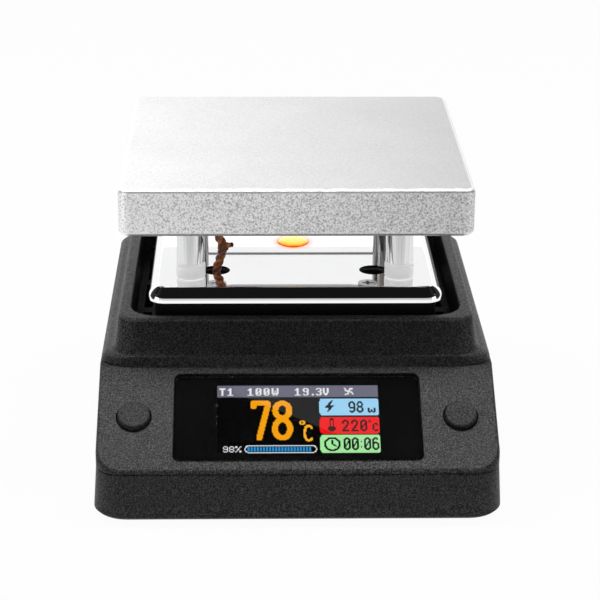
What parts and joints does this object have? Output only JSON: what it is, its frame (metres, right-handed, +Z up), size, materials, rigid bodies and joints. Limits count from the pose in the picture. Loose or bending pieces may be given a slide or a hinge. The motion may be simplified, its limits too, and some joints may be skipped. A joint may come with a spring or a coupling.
{
  "type": "soldering hot plate",
  "caption": "Small square soldering hot plate: an aluminium plate on posts over a mirror tray, in a moulded housing with a sloped screen panel and push buttons.",
  "frame": {"origin": "middle of the housing, on the surface that the feet stand on", "axes": "+X to the right, +Y to the back, away from the sloped panel, +Z up"},
  "size_m": [0.0566, 0.0722, 0.0421],
  "materials": {
    "housing_plastic": "fine spark-eroded grain",
    "liner_plastic": "matt heat-resistant moulding",
    "tray_mirror": "mirror polish",
    "plate_aluminium": "fine bead-blasted",
    "heater_ceramic": "plain",
    "clamp_steel": "brushed",
    "screw_steel": "plain",
    "lead_braid": "varnished braided sleeve",
    "tie_thread": "thread",
    "post_aluminium": "turned and polished",
    "insulator_ceramic": "satin",
    "lens_glow": "lit amber lens",
    "circuit_board": "solder mask",
    "window_glass": "black-printed window with a clear picture area",
    "display_panel": "lit colour screen",
    "foam_pad": "foam",
    "button_plastic": "fine grain",
    "switch_steel": "pressed sheet",
    "black_plastic": "moulded",
    "socket_steel": "drawn shell",
    "plug_plastic": "moulded",
    "ribbon": "flat film cable",
    "foot_rubber": "soft",
    "screw_black": "black-plated"
  },
  "bodies": {
    "housing": {"base_shell": "housing_plastic", "top_housing": "housing_plastic", "well_liner": "liner_plastic", "reflector_tray": "tray_mirror", "heating_plate": "plate_aluminium", "heater_element": "heater_ceramic", "heater_clamp": "clamp_steel", "clamp_screws": "screw_steel", "temperature_sensor": "lead_braid", "heater_lead": "lead_braid", "lead_tie": "tie_thread", "post_front_left": "post_aluminium", "post_front_right": "post_aluminium", "post_rear_left": "post_aluminium", "post_rear_right": "post_aluminium", "insulator_front_left": "insulator_ceramic", "insulator_front_right": "insulator_ceramic", "insulator_rear_left": "insulator_ceramic", "insulator_rear_right": "insulator_ceramic", "post_screws": "screw_steel", "light_lens": "lens_glow", "light_board": "circuit_board", "light_screws": "screw_steel", "display_window": "window_glass", "display_module": "display_panel", "display_pad": "foam_pad", "control_board": "circuit_board", "control_screws": "screw_steel", "switch_left": "switch_steel", "switch_right": "switch_steel", "main_board": "circuit_board", "board_screws": "screw_steel", "usb_socket": "socket_steel", "power_jack": "black_plastic", "lead_plug": "plug_plastic", "ribbon_cable": "ribbon", "fan_frame": "black_plastic", "fan_screws": "screw_steel", "foot_front_left": "foot_rubber", "foot_front_right": "foot_rubber", "foot_rear_left": "foot_rubber", "foot_rear_right": "foot_rubber", "shell_screws": "screw_black"},
    "left_button": {"button_left": "button_plastic", "switch_stem_left": "black_plastic"},
    "right_button": {"button_right": "button_plastic", "switch_stem_right": "black_plastic"},
    "fan_impeller": {"fan_rotor": "black_plastic"}
  },
  "joints": [
    {"name": "left_button_press", "type": "slide", "parent": "housing", "child": "left_button", "axis": [0, 0.509, -0.8607], "range_m": [0, 0.0004], "stiffness_N_per_m": 500, "springref_m": -0.0002},
    {"name": "right_button_press", "type": "slide", "parent": "housing", "child": "right_button", "axis": [0, 0.509, -0.8607], "range_m": [0, 0.0004], "stiffness_N_per_m": 500, "springref_m": -0.0002},
    {"name": "fan_spin", "type": "hinge", "parent": "housing", "child": "fan_impeller", "pos_m": [0, -0.0037, 0.006], "axis": [0, 0, 1], "continuous": true}
  ]
}
